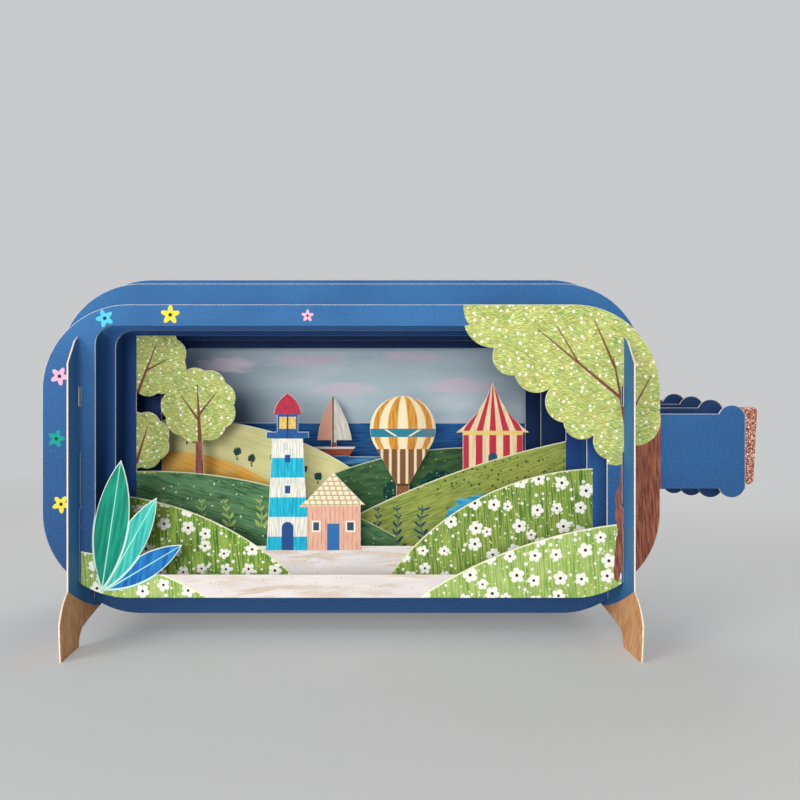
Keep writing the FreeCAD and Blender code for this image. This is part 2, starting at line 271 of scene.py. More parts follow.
def dots(spot, spread, radius, seed):
    """Scattered dots of ink, one to a cell."""
    place = spot.turned("ADD", spot, (seed, seed, 0))
    cell = spot.node("ShaderNodeTexVoronoi", {"voronoi_dimensions": "2D"},
                     {"Vector": place, "Scale": 1 / spread})
    random = spot.node("ShaderNodeSeparateColor", {}, {0: cell.beside("Color")}, "Red")
    return radius * (random * 0.7 + 0.5) - cell * spread


def woodland(spot, seed=0.0):
    """Dark leafy ground, dabbed lighter, with pale specks."""
    leaves = blend(tint("#003a35"), tint("#0f5a45"), streaks(grain(spot, 1.6, 1.2, 0.6, 3.0, seed), 4.0))
    leaves = over(leaves, tint("#6f9a55"), dots(spot, 2.9, 0.3, seed + 4), 0.2)
    return over(leaves, tint("#e8ecd8"), dots(spot, 3.7, 0.26, seed), 0.15)


def sailing_boat(spot, picture):
    """A red hull with a pale rail, a mast, a rosy sail and a cream one."""
    across, up = apart(spot)
    hull = box(spot, -16.2, 2.8, -5.6, -1.9)
    wood = blend(tint("#8c3a2c"), tint("#b85a3c"), streaks(grain(spot, 6, 0.5, seed=4), 4.0))
    picture = over(picture, wood, hull, 0.12)
    picture = over(picture, tint("#f2ecdc"), 0.35 - abs(up + 2.6) & hull, 0.12)
    rig = box(spot, -16.2, 2.8, -1.9, 19.0)
    mast = -7.2
    cloth = blend(tint("#f4eee0"), tint("#d9d2c4"), streaks(grain(spot, 0.8, 6, 0.25, seed=6), 3.0))
    cloth = over(cloth, tint("#e8ac92"), mast - 0.4 - across, 0.2)
    cloth = over(cloth, tint("#6c4a36"), 0.3 - abs(across - mast), 0.15)
    cloth = over(cloth, tint("#6c4a36"), -0.4 - up, 0.15)
    return over(picture, cloth, rig, 0.1)


def far_shore(spot, blue):
    up = apart(spot)[1]
    blue_with_painted_shade = shaded_inside_bottle(spot, blue, "#14305c")
    water = blend(tint("#1b5c98"), tint("#5aa3cc"), streaks(grain(spot, 11, 0.7, seed=2), 5.0))
    ground = over(water, woodland(spot, 9.0), -9.0 - up + (grain(spot, 5, 5, seed=1) - 0.5) * 5.0, 0.3)
    picture = over(blue_with_painted_shade, ground, box(spot, -69.0, 69.0, -30.0, -5.0) | box(spot, -69, -28, -30, 5), 0.2)
    headland = under_arc(spot, (-70.4, 4.3), (-29.0, -7.3), 0.08)
    wooded = box(spot, -69, -28, -9.5, 5)
    picture = over(picture, woodland(spot), headland & wooded, 0.25)
    picture = over(picture, tint("#c9c7a0"), 0.35 - abs(headland) & wooded, 0.2)
    return sailing_boat(spot, picture)


card("fifth_sheet", far_shore)

# Fourth sheet: the rear one of the two tallest, with two overlapping hills on its sill.
# The pale hill at the left has a ploughed field and round bushes, the dark one at the right has hedges.


def bushes(spot, places, radius):
    """Round bushes, each with a short trunk under it."""
    shape = None
    for across, up in places:
        bush = disc(spot, across, up, radius) | box(spot, across - 0.25, across + 0.25, up - radius * 2.1, up)
        shape = bush if shape is None else shape | bush
    return shape


def clump(spot, rounds):
    """Several discs grown together."""
    shape = disc(spot, *rounds[0])
    for place in rounds[1:]:
        shape = shape | disc(spot, *place)
    return shape


def crest(ground, code, top, width):
    """Ground with a pale line along its top."""
    return over(ground, tint(code), width - abs(top), 0.25)


def pale_hill(spot, picture):
    """Dry grass with a ploughed field and round bushes."""
    top = under_arc(spot, (-73.0, 8.7), (11.5, -17.7), 0.1)
    hill = blend(tint("#eee49c"), tint("#d6d68c"), streaks(grain(spot, 26, 5, -0.25), 3.0))
    hill = blend(hill, tint("#f2eab4"), streaks(grain(spot, 9, 0.8, -0.3, seed=3), 4.0) * 0.5)
    field = under_arc(spot, (-76.0, -3.0), (-18.0, -26.0), 0.12)
    furrows = spot.turned("DOT_PRODUCT", spot, (0.42, 0.9, 0), give="Value")
    ploughed = blend(tint("#ffc050"), tint("#f2a640"), furrows.calc("SINE", furrows * 3.4) * 0.35 + 0.4)
    ploughed = blend(ploughed, tint("#ffd070"), streaks(grain(spot, 12, 6, 0.3), 2.5) * 0.6)
    hill = over(hill, ploughed, field + (grain(spot, 4, 4) - 0.5) * 1.5, 0.3)
    planted = bushes(spot, [(-43, -3.0), (-37.5, -5.6), (-29, -5.2),
                            (-18, -9.5), (-12.5, -12.4), (-62, 2.5)], 1.5)
    hill = over(hill, tint("#17493f"), planted + (grain(spot, 0.8, 0.8) - 0.5) * 1.2, 0.2)
    return over(picture, crest(hill, "#f3eac6", top, 0.4), box(spot, -71.6, 12.5, -40.0, 12.0), 0.1)


def dark_hill(spot, picture):
    """Dark grass with hedges and pale specks."""
    top = under_arc(spot, (-7.2, -11.4), (73.0, -3.9), 0.07)
    hill = blend(tint("#2f5a38"), tint("#4f7c46"), streaks(grain(spot, 7, 1.6, 0.15), 3.0))
    hedges = clump(spot, [(62, -6, 9), (49, -13, 8), (33, -17, 7), (18, -19, 6)])
    hill = over(hill, woodland(spot, 3.0), hedges, 0.3)
    hill = over(hill, tint("#d8d890"), dots(spot, 4.2, 0.22, 5.0), 0.15)
    return over(picture, crest(hill, "#cfd4a0", top, 0.4), top & box(spot, -7.2, 71.6, -40.0, 4.0), 0.15)


def far_hills(spot, blue):
    blue_with_painted_shade = shaded_inside_bottle(spot, blue, "#14315e")
    return dark_hill(spot, pale_hill(spot, blue_with_painted_shade))


card("fourth_sheet", far_hills)

# Third sheet: the front one of the two tallest.
# A green hill at the right carries a balloon and a striped tent, a dark meadow slopes down
# from the left, and three tree crowns fill the upper left corner of its window.


def foliage(spot, seed=0.0):
    """Leaves in short brush strokes of green and yellow, dotted with white blossom."""
    sweep = grain(spot, 9, 9, seed=seed + 2)
    green = blend(tint("#9ab45f"), tint("#c2cf78"), streaks(grain(spot, 6, 6, seed=seed), 4.0))
    for turn, share in [(0.35, 0.9), (-0.5, 0.8)]:
        strokes = streaks(grain(spot, 3.4, 0.45, turn, 3.0, seed + turn), 7.0)
        swept = streaks(sweep if turn > 0 else 1.0 - sweep, 5.0)
        green = blend(green, tint("#ebec96"), strokes * share * swept)
    green = blend(green, tint("#5f8a44"), streaks(grain(spot, 1.8, 0.34, -0.2, 2.0, seed + 9), 8.0) * 0.55)
    green = blend(green, tint("#c8a24e"), streaks(grain(spot, 4, 3, 0.4, 2.0, seed + 15), 7.0) * 0.2)
    return over(green, tint("#fbf9e6"), dots(spot, 2.9, 0.42, seed), 0.2)


def line(spot, start, end, width, thin):
    """A brush line from start to end, thinner at its end."""
    run = (end[0] - start[0], end[1] - start[1], 0)
    square = run[0] ** 2 + run[1] ** 2
    reach = spot.turned("SUBTRACT", spot, (*start, 0))
    share = spot.turned("DOT_PRODUCT", reach, run, give="Value")
    share = share.calc("MULTIPLY", share, 1 / square, use_clamp=True)
    nearest = spot.node("ShaderNodeVectorMath", {"operation": "SCALE"}, {0: run, "Scale": share})
    away = spot.turned("DISTANCE", reach, nearest, give="Value")
    return width / 2 - share * ((width - thin) / 2) - away


def branched(leaves, spot, boughs, soft):
    """Leaves with brown boughs brushed over them."""
    for start, end, width in boughs:
        leaves = over(leaves, tint("#7a4433"), line(spot, start, end, width, 0.3), soft)
    return leaves


def bark(spot):
    return blend(tint("#6e3a30"), tint("#a2624a"), streaks(grain(spot, 0.5, 7, 0.06, 3.0), 4.0))


def sprigs(spot, spacing, left, right, bottom, top):
    """Rows of upright sprigs, each with pairs of leaves that slant up from its stem and shrink to its tip."""
    across, up = apart(spot)
    sway = across + (grain(spot, 14, 14, seed=8) - 0.5) * 7.0
    aside = abs(sway.calc("WRAP", sway, spacing / 2, -spacing / 2))
    shrink = 0.6 / (top - bottom)
    size = up.calc("MULTIPLY_ADD", up, -shrink, 1.0 + shrink * bottom, use_clamp=True)
    rise = up - aside * 0.9
    rise = rise.calc("WRAP", rise, 1.45, -1.45)
    leaf = spot.node("ShaderNodeCombineXYZ", {},
                     {"X": (aside - size * 1.6) / (size * 1.5), "Y": rise / (size * 0.82)})
    shape = 0.5 - spot.turned("LENGTH", leaf, give="Value") * 0.5
    return (shape | (0.14 - aside)) & box(spot, left, right, bottom, top)


def landed_balloon(spot, picture):
    """Ochre and cream gores with a teal band, then the ropes and a wicker basket."""
    across, up = apart(spot)
    middle, height, radius, band = 18.5, 6.1, 11.8, 4.6
    girth = radius ** 2 + 2.0 - (up - height) * (up - height)
    gore = (across - middle) / girth.calc("SQRT", girth | 4.0)
    gore = gore.calc("ARCSINE", gore)
    silk = blend(tint("#c07f2a"), tint("#e0a040"), streaks(grain(spot, 0.8, 7, seed=2), 4.0))
    silk = over(silk, tint("#f3e4bc"), gore.calc("COSINE", gore * 10.0), 0.18)
    silk = over(silk, tint("#1f7f96"), 1.5 - abs(up - band), 0.15)
    swag = 0.35 - abs(abs(gore) * 7.0 - up + 2.0)
    silk = over(silk, tint("#f3e4bc"), swag & (1.2 - abs(up - band)), 0.2)
    silk = blend(silk, tint("#8a5420"), gore * 0.3 & 0.3)
    ropes = across.calc("COSINE", (across - middle) * 2.1) + 0.55
    silk = over(silk, over(tint("#e9d9b4"), tint("#7c5230"), ropes, 0.5), -1.2 - up, 0.15)
    wicker = across.calc("SINE", across * 5.0) * up.calc("SINE", up * 4.0)
    basket = over(tint("#a06a3a"), tint("#6c4020"), wicker, 0.9)
    basket = over(basket, tint("#5a3418"), 0.45 - abs(up + 14.0), 0.15)
    silk = over(silk, basket, -13.6 - up, 0.12)
    return over(picture, silk, box(spot, 6.0, 31.0, -21.0, 18.6), 0.15)


def striped_tent(spot, picture):
    """A tent in red and cream, whose roof stripes meet at its peak."""
    across, up = apart(spot)
    middle, peak, eaves = 50.8, 23.4, 4.6
    drop = peak - (up | eaves)
    stripes = (across - middle) * (peak - eaves) / drop
    stripes = stripes.calc("COSINE", stripes * 1.28)
    tent = over(tint("#f0dcae"), tint("#c22c42"), stripes, 0.25)
    tent = blend(tent, tint("#a8243a"), streaks(grain(spot, 1.2, 9, seed=4), 3.0) * 0.25)
    tent = over(tent, tint("#e9c877"), 0.75 - abs(up - eaves), 0.2)
    doorway = box(spot, 49.2, 52.4, -20.0, -4.0) | disc(spot, middle, -4.0, 1.6)
    tent = over(tent, tint("#2a4a66"), doorway, 0.2)
    return over(picture, tent, box(spot, 37.0, 65.0, -16.0, 23.5), 0.1)


def green_hill(spot, picture):
    """Mown stripes, rows of sprigs and a pond at the hill's foot."""
    top = under_arc(spot, (-11.55, -32.1), (78.5, 2.0), 0.04)
    hill = blend(tint("#8f9c46"), tint("#74893c"), streaks(grain(spot, 22, 3, 0.3), 3.0))
    hill = blend(hill, tint("#b4bc5e"), streaks(grain(spot, 6, 0.5, 0.35, seed=3), 5.0) * 0.6)
    hill = over(hill, tint("#124a5c"), sprigs(spot, 8.6, 3, 40, -37.0, -21.5), 0.15)
    hill = over(hill, tint("#3f5c26"), dots(spot, 2.4, 0.4, 2.0) & box(spot, 20, 77, -16.0, -4.0), 0.2)
    shore = spot.node("ShaderNodeMapping", {"vector_type": "TEXTURE"},
                      {"Vector": spot, "Location": (47, -22.5, 0), "Rotation": (0, 0, 0.2),
                       "Scale": (13, 5, 1)})
    pond = 1.0 - spot.turned("LENGTH", shore, give="Value") + (grain(spot, 6, 2.5) - 0.5) * 0.9
    water = blend(tint("#1694c8"), tint("#5cc6ea"), streaks(grain(spot, 8, 0.5), 5.0))
    hill = crest(over(hill, water, pond, 0.06), "#dfe2a8", top, 0.42)
    return over(picture, hill, top & box(spot, -12.0, 77.0, -46.0, 4.0), 0.12)


def dark_meadow(spot, picture, slope):
    """Dark green brushed down the slope, with sprigs and strewn with pale petals."""
    meadow = blend(tint("#2a5a3c"), tint("#50845a"), streaks(grain(spot, 16, 3, -0.25, seed=6), 3.5))
    meadow = blend(meadow, tint("#7ba568"), streaks(grain(spot, 5, 0.5, -0.3, seed=7), 6.0) * 0.5)
    meadow = over(meadow, tint("#e6e9b4"), dots(spot, 4.6, 0.3, 12.0), 0.15)
    meadow = over(meadow, tint("#a9c06a"), sprigs(spot, 11.0, -70, -24, -29, -19), 0.2)
    ground = slope | box(spot, -77, 0, -46, -32)
    ground = ground & box(spot, -77.0, 16.0, -46.0, -4.0)
    return over(picture, crest(meadow, "#c9d4a0", slope, 0.4), ground, 0.12)


def trees(spot, picture, slope):
    """A whole tree on the meadow, and the crowns of two more that the frame cuts off."""
    across, up = apart(spot)
    picture = over(picture, bark(spot), box(spot, -57.2, -51.5, -22.0, 8.0) & -slope, 0.15)
    crowns = clump(spot, [(-54.7, 14.5, 16.0), (-71.6, 30.5, 15.0), (-75.5, 2.0, 13.0)])
    crowns = crowns & (up - 1.5 | (abs(across + 54.4) - 2.7))
    boughs = [((-54.3, 2), (-55.2, 22), 1.5), ((-54.6, 9), (-61, 18), 0.9), ((-54.6, 11), (-48.5, 19), 0.9),
              ((-77, 18), (-70, 36), 1.3), ((-73.5, 27), (-66, 31), 0.8), ((-77, -6), (-73, 7), 1.1)]
    leaves = branched(foliage(spot), spot, boughs, 0.25)
    return over(picture, leaves, crowns & box(spot, -77.0, -38.0, -12.0, 39.5) & (up + 10.0), 0.12)


def hill_and_meadow(spot, blue):
    picture = shaded_inside_bottle(spot, blue, "#1b4480")
    picture = striped_tent(spot, landed_balloon(spot, picture))
    picture = green_hill(spot, picture)
    slope = under_arc(spot, (-78.5, -9.15), (15.4, -32.1), 0.07)
    return trees(spot, dark_meadow(spot, picture, slope), slope)


card("third_sheet", hill_and_meadow)

# Cork: a tab of glitter card glued behind the neck of the third sheet.
# Rose-gold flakes are strewn in glue over both of its faces, so they lie at all angles.


def glitter_card(name):
    """Rose-gold grains under the flakes: every grain has its own colour, tilt and shine."""
    material, shader = bare_finish(name)
    start = Ink(shader.outputs[0])
    place = start.node("ShaderNodeTexCoord", {}, {}, "Object")
    grains = start.node("ShaderNodeTexVoronoi", {}, {"Vector": place, "Scale": 2600.0})
    shade = start.node("ShaderNodeSeparateColor", {}, {0: grains.beside("Color")}, "Red")
    colour = blend(tint("#904636"), tint("#e2957b"), shade)
    colour = blend(colour, tint("#ffe4d2"), shade.calc("GREATER_THAN", shade.beside("Green"), 0.82))
    colour = blend(colour, tint("#4a2620"), shade.calc("GREATER_THAN", shade.beside("Blue"), 0.88))
    colour.into(shader, "Base Color")
    (shade * 0.3 + 0.22).into(shader, "Roughness")
    bump = start.node("ShaderNodeBump", {}, {"Strength": 0.7, "Distance": 0.00012, "Height": shade}, "Normal")
    bump.into(shader, "Normal")
    shader.inputs["Metallic"].default_value = 0.45
    return material


glitter = glitter_card("rose_gold_glitter")
dress(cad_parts["cork"].data, glitter)

strewing = bpy.data.node_groups.new("strewn_flakes", "GeometryNodeTree")
strewing.interface.new_socket("Geometry", in_out="OUTPUT", socket_type="NodeSocketGeometry")
strewing.interface.new_socket("Geometry", in_out="INPUT", socket_type="NodeSocketGeometry")
strewing_sizes = {"Flakes per m2": ("NodeSocketFloat", 1.0e7), "Flake radius": ("NodeSocketFloat", 0.00019),
                  "Seed": ("NodeSocketInt", 5), "Finish": ("NodeSocketMaterial", glitter)}
for label, (kind, amount) in strewing_sizes.items():
    strewing.interface.new_socket(label, in_out="INPUT", socket_type=kind)


def step(tree, kind, settings, sockets):
    """One step of a geometry tree, its sockets given as values or as other steps' outputs."""
    made = tree.nodes.new(kind)
    for name, setting in settings.items():
        setattr(made, name, setting)
    for name, value in sockets.items():
        if isinstance(value, bpy.types.NodeSocket):
            tree.links.new(value, made.inputs[name])
        else:
            made.inputs[name].default_value = value
    return made


given = step(strewing, "NodeGroupInput", {}, {}).outputs
strewn = step(strewing, "GeometryNodeDistributePointsOnFaces", {},
              {"Mesh": given["Geometry"], "Density": given["Flakes per m2"], "Seed": given["Seed"]})
flake = step(strewing, "GeometryNodeMeshCircle", {"fill_type": "NGON"},
             {"Vertices": 6, "Radius": given["Flake radius"]})
tilt = step(strewing, "FunctionNodeRandomValue", {"data_type": "FLOAT_VECTOR"},
            {"Min": (-0.32, -0.32, -3.1), "Max": (0.32, 0.32, 3.1), "Seed": given["Seed"]})
tipped = step(strewing, "FunctionNodeRotateRotation", {"rotation_space": "LOCAL"},
              {"Rotation": strewn.outputs["Rotation"], "Rotate By": tilt.outputs[0]})
laid = step(strewing, "GeometryNodeInstanceOnPoints", {},
            {"Points": strewn.outputs["Points"], "Instance": flake.outputs["Mesh"],
             "Rotation": tipped.outputs["Rotation"]})
real = step(strewing, "GeometryNodeRealizeInstances", {}, {"Geometry": laid.outputs["Instances"]})
finished = step(strewing, "GeometryNodeSetMaterial", {},
                {"Geometry": real.outputs["Geometry"], "Material": given["Finish"]})
step(strewing, "NodeGroupOutput", {}, {"Geometry": finished.outputs["Geometry"]})

# The flakes stick to the two faces of the tab where it shows past the mouth, a hair above the card.
# They stop short of its edges, and its end slants in towards the bottom.
tab_low, tab_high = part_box("cork")
mouth, bare_edge, hair = 0.0985, 0.0004, 0.00005
end_low, end_high = tab_high.x - 0.0021, tab_high.x - 0.0006
bed = bpy.data.meshes.new("flake_bed")
corners, faces = [], []
for face, side in [(tab_low.y - hair, 1), (tab_high.y + hair, -1)]:
    first = len(corners)
    outline = [(mouth, tab_low.z + bare_edge), (end_low, tab_low.z + bare_edge),
               (end_high, tab_high.z - bare_edge), (mouth, tab_high.z - bare_edge)]
    corners += [(along, face, up) for along, up in outline[::side]]
    faces.append(list(range(first, first + 4)))
bed.from_pydata(corners, [], faces)
flakes = bpy.data.objects.new("cork_flakes", bed)
bpy.context.scene.collection.objects.link(flakes)
strew = flakes.modifiers.new("strewn", "NODES")
strew.node_group = strewing
for socket in strewing.interface.items_tree:
    if socket.in_out == "INPUT" and socket.name in strewing_sizes:
        strew[socket.identifier] = strewing_sizes[socket.name][1]
bpy.context.view_layer.update()
settled = bpy.data.meshes.new_from_object(flakes.evaluated_get(bpy.context.evaluated_depsgraph_get()))
flakes.modifiers.remove(strew)
flakes.data = settled
dress(settled, glitter)
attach(flakes, "root")

# Second sheet: two flowered banks with the pale path between them.
# A banded lighthouse and the keeper's hut stand on the path, cut from the same card.


def blossoms(spot, spread, radius, seed):
    """Five-petalled blossoms, one to a cell: their petals and their dark hearts."""
    place = spot.turned("ADD", spot, (seed, seed * 0.7, 0))
    cell = spot.node("ShaderNodeTexVoronoi", {"voronoi_dimensions": "2D"},
                     {"Vector": place, "Scale": 1 / spread, "Randomness": 0.62})
    random = spot.node("ShaderNodeSeparateColor", {}, {0: cell.beside("Color")}, "Red")
    from_heart = spot.turned("SUBTRACT", place, cell.beside("Position"))
    along, up = apart(from_heart)
    size = radius * (random * 0.4 + 0.75)
    turn = along.calc("ARCTAN2", up, along) + random * 6.3
    turn = turn.calc("WRAP", turn, math.pi / 5, -math.pi / 5)
    reach = spot.turned("LENGTH", from_heart, give="Value")
    petal = spot.node("ShaderNodeCombineXYZ", {}, {"X": turn.calc("COSINE", turn) * reach - size * 0.6,
                                                   "Y": turn.calc("SINE", turn) * reach})
    ragged = (grain(spot, 0.6, 0.6, seed=seed) - 0.5) * 0.5
    petals = size * 0.37 - spot.turned("LENGTH", petal, give="Value") + ragged
    return petals | (size * 0.45 - reach), size * 0.2 - reach


def flowered(spot, deep, fresh, light, seed=0.0):
    """A bank of upright grass strokes with white blossoms and smaller buds."""
    grass = blend(tint(deep), tint(fresh), streaks(grain(spot, 2.2, 16, 0.05, 2.0, seed), 4.0))
    grass = blend(grass, tint(light), streaks(grain(spot, 0.5, 9, 0.08, 2.0, seed + 5), 6.0) * 0.7)
    grass = over(grass, tint("#d9e6a0"), dots(spot, 2.9, 0.28, seed + 3), 0.15)
    petals, hearts = blossoms(spot, 7.4, 2.3, seed)
    buds = dots(spot, 4.0, 0.5, seed + 8)
    grass = over(grass, tint("#f4f2e2"), buds, 0.2)
    grass = over(grass, tint("#f9f7ea"), petals, 0.2)
    return over(grass, tint("#26221c"), hearts, 0.15)


def pale_path(spot):
    """Off-white sand with thin tan washes."""
    sand = blend(tint("#e6e0dd"), tint("#dcd4d0"), streaks(grain(spot, 18, 3), 3.0))
    wash = streaks(grain(spot, 12, 1.6, 0.06, 3.0, 5.0), 7.0) * streaks(grain(spot, 26, 8, seed=9), 5.0)
    sand = blend(sand, tint("#ccb08c"), wash * 0.6)
    return over(sand, tint("#a08a68"), dots(spot, 3.4, 0.14, 4.0), 0.15)


def lighthouse(spot, picture):
    """Turquoise and cream bands, a blue gallery, an ochre lamp and a red dome."""
    across, up = apart(spot)
    middle = -21.6
    shaft = blend(tint("#00a6c8"), tint("#26c4dc"), streaks(grain(spot, 0.7, 12, seed=2), 5.0))
    bands = up.calc("SINE", (up + 30.0) * 0.47)
    shaft = over(shaft, tint("#f3ecdc"), bands, 0.12)
    shaft = blend(shaft, tint("#0a7f9c"), streaks(grain(spot, 0.4, 5, seed=12), 7.0) * 0.35)
    doorway = box(spot, -23.6, -19.6, -35.5, -27.0) | disc(spot, middle, -27.0, 2.0)
    shaft = over(shaft, tint("#1c4c86"), doorway, 0.15)
    for height in (-14.0, -3.5):
        shaft = over(shaft, tint("#1c4c86"), box(spot, -22.5, -20.7, height - 1.3, height + 1.3), 0.15)
    lantern = over(tint("#1f5a9c"), tint("#f0c860"), box(spot, -24.4, -18.8, 6.6, 10.7), 0.15)
    lantern = over(lantern, tint("#1b3f6c"), 0.3 - abs(across - middle), 0.15)
    lantern = over(lantern, tint("#bc2a3e"), up - 11.6, 0.15)
    lantern = blend(lantern, tint("#0e2c54"), streaks(grain(spot, 0.6, 2, seed=3), 5.0) * 0.3)
    tower = over(shaft, lantern, up - 3.3, 0.12)
    return over(picture, tower, box(spot, -29.0, -12.6, -34.6, 19.5), 0.12)


def keepers_hut(spot, picture):
    """Salmon boards, cream roof tiles, a blue door and two windows with white frames."""
    across, up = apart(spot)
    boards = across.calc("SINE", across * 4.2)
    hut = over(tint("#e0a890"), tint("#c98a72"), boards - 0.75, 0.3)
    hut = blend(hut, tint("#f0c4ac"), streaks(grain(spot, 0.6, 4, seed=4), 4.0) * 0.5)
    hut = over(hut, tint("#2c6ca8"), box(spot, -8.2, -4.0, -36.0, -25.6), 0.15)
    frames = box(spot, -1.9, 1.4, -28.4, -24.6) | box(spot, -13.4, -10.4, -28.4, -24.6)
    hut = over(hut, tint("#f4efe2"), frames, 0.15)
    hut = over(hut, tint("#3a4a5c"), frames - 0.5, 0.15)
    tiles = across.calc("SINE", across * 3.0 + up.calc("FLOOR", up * 0.62) * 1.57)
    roof = over(tint("#efe3c4"), tint("#cdb98e"), tiles - 0.55, 0.4)
    roof = over(roof, tint("#a8905f"), 0.14 - abs(up.calc("WRAP", up, 0.8, -0.8)), 0.15)
    hut = over(hut, roof, up + 19.6, 0.12)
    front = (across + 14.9) & (3.5 - across) | (up + 20.0)
    return over(picture, hut, box(spot, -17.4, 5.4, -34.6, -8.0) & front & (across - up - 2.1), 0.12)


def banks_and_lighthouse(spot, blue):
    across = apart(spot)[0]
    blue_with_painted_shade = shaded_inside_bottle(spot, blue, "#265494")
    ground = box(spot, -82.0, 82.0, -48.5, -4.0)
    path = box(spot, -50.0, 50.0, -48.5, -33.2)
    picture = over(blue_with_painted_shade, pale_path(spot), path, 0.1)
    left_top = under_arc(spot, (-81.6, -15.6), (-28.8, -35.4), 0.07)
    left_bank = crest(flowered(spot, "#3f7028", "#669636", "#a9bf55"), "#dfe8b0", left_top, 0.42)
    picture = over(picture, left_bank, left_top & (-10.0 - across) & ground, 0.15)
    right_top = under_arc(spot, (19.2, -35.4), (81.6, -6.8), 0.1)
    right_bank = crest(flowered(spot, "#48722e", "#6f9238", "#adbd5e", 21.0), "#dfe8b0", right_top, 0.42)
    picture = over(picture, right_bank, right_top & (across - 14.0) & ground, 0.15)
    return keepers_hut(spot, lighthouse(spot, picture))


card("second_sheet", banks_and_lighthouse)

# Front sheet: the foremost frame, with the smallest neck and its own rolled lip.
# Boughs hang into its upper right corner, reeds grow at the left, and light banks close its sill.


def lens(spot, foot, tip, bulge):
    """A leaf's outline, pointed at both ends."""
    return under_arc(spot, foot, tip, bulge) & under_arc(spot, tip, foot, bulge)


def reeds(spot, picture):
    """Three flat leaves, each with a paler rib and edge."""
    for foot, tip, bulge, deep, fresh in [((-78.3, -44.4), (-54.1, -30.0), 0.14, "#0a5ca8", "#2080c4"),
                                          ((-79.1, -44.4), (-62.3, -14.8), 0.13, "#1fa8a0", "#52c8b8"),
                                          ((-79.95, -44.4), (-73.8, -2.8), 0.13, "#007f66", "#0a9c80")]:
        leaf = blend(tint(deep), tint(fresh), streaks(grain(spot, 0.9, 14, -0.2, 2.0, foot[0]), 4.0))
        leaf = over(leaf, tint("#a8ecd8"), line(spot, foot, tip, 0.45, 0.2), 0.2)
        shape = lens(spot, foot, tip, bulge)
        leaf = over(leaf, tint("#d4f2e4"), 0.3 - abs(shape), 0.2)
        picture = over(picture, leaf, shape + 0.4, 0.15)
    return picture


def near_tree(spot, picture):
    """A trunk up the right side of the frame, and the boughs that hang from it into the window."""
    across, up = apart(spot)
    edge = (grain(spot, 5, 14, seed=5) - 0.5) * 5.0
    trunk = (across - 84.6 - (up + 30.0) * 0.05 + edge) & (12.0 - up) & (BODY_END - across)
    trunk = trunk & (up + 39.0 + (grain(spot, 2.5, 30, seed=6) - 0.5) * 16.0)
    picture = over(picture, bark(spot), trunk, 0.3)
    crown = clump(spot, [(45, 46, 9), (58, 47, 10), (72, 46, 12), (84, 38, 15),
                         (93, 24, 12), (91, 10, 8.2), (84.5, 1.5, 6), (84, 13, 7)])
    crown = crown & (BODY_END - across | (up - 13.0)) | box(spot, 34.0, 82.2, -3.0, 40.3)
    boughs = [((89, 4), (84, 30), 1.8), ((86.5, 17), (60, 39), 1.1), ((84.5, 27), (78, 42), 0.9),
              ((88, 9), (96, 24), 1.0), ((73, 28.2), (66, 40), 0.6)]
    return over(picture, branched(foliage(spot, 30.0), spot, boughs, 0.3), crown, 0.2)


def loose_blossoms(spot, picture):
    """A few blossoms of one colour each, strewn on the blue."""
    across, up = apart(spot)
    for along, height, radius, code in [(-58, 43.7, 3.1, "#f2dc3a"), (-79, 42.6, 2.9, "#57c8e4"),
                                        (-93.5, 24, 3.0, "#f0b4cc"), (-94.5, 4, 2.8, "#0f9a8c"),
                                        (-93.0, -17, 2.9, "#f2dc3a"), (-14, 43.4, 2.0, "#f0b4cc")]:
        turn = up.calc("ARCTAN2", up - height, across - along)
        petals = (turn.calc("COSINE", turn * 5.0 + along) * 0.24 + 0.76) * radius
        reach = spot.turned("DISTANCE", spot, (along, height, 0), give="Value")
        picture = over(picture, tint(code), petals - reach, 0.15)
        picture = over(picture, tint("#1c2c40"), radius * 0.2 - reach, 0.15)
    return picture


def near_frame(spot, blue):
    # The path runs along the sill from stand to stand, with a light bank over each end of it
    across = apart(spot)[0]
    beside_stand = 86.6
    sill = box(spot, -beside_stand, beside_stand, -50.0, -39.0)
    picture = over(blue, pale_path(spot), sill, 0.15)
    bank_top = under_arc(spot, (29.5, -42.0), (83.6, -23.6), 0.05)
    bank = crest(flowered(spot, "#759c42", "#90b256", "#bfd082", 40.0), "#eef2c4", bank_top, 0.42)
    picture = over(picture, bank, bank_top & (across - 20.0) & (beside_stand - across), 0.15)
    knoll_top = under_arc(spot, (-96.0, -31.0), (-44.0, -48.0), 0.06)
    knoll = crest(flowered(spot, "#759c42", "#90b256", "#bfd082", 55.0), "#eef2c4", knoll_top, 0.42)
    picture = over(picture, knoll, knoll_top & (across + beside_stand) & (-20.0 - across), 0.15)
    return loose_blossoms(spot, near_tree(spot, reeds(spot, picture)))


card("front_sheet", near_frame)

# Stand panels: two cards that cross all six sheets in halving slots and carry them.
# They are printed bottle blue above, and their feet are printed as brown wood along a curved line.


def wooden_feet(spot, blue):
    depth, up = apart(spot)
    height = up + BOTTLE_MIDDLE[1]
    wood = blend(tint("#de9054"), tint("#f6bc86"), streaks(grain(spot, 0.7, 9, 0.35, 3.0), 4.0))
    wood = blend(wood, tint("#ab6c3e"), streaks(grain(spot, 0.3, 5, 0.35, 3.0, 4.0), 8.0) * 0.6)
    wood = blend(wood, tint("#f0c498"), streaks(grain(spot, 6, 8, seed=2), 3.0) * 0.4)
    foot_depth, foot_height = 49.7, 20.2
    inward = foot_depth - abs(depth)
    wood_top = foot_height - inward * 0.52 + inward * inward * 0.0043
    panel = blend(blue, tint("#4888c2"), streaks(grain(spot, 20, 30, seed=3), 2.5) * 0.4 + 0.4)
    return over(panel, wood, wood_top - height, 0.2)


for stand in ("left_stand", "right_stand"):
    card(stand, wooden_feet, "x", "#f2d6b8", "#fdf0e2")

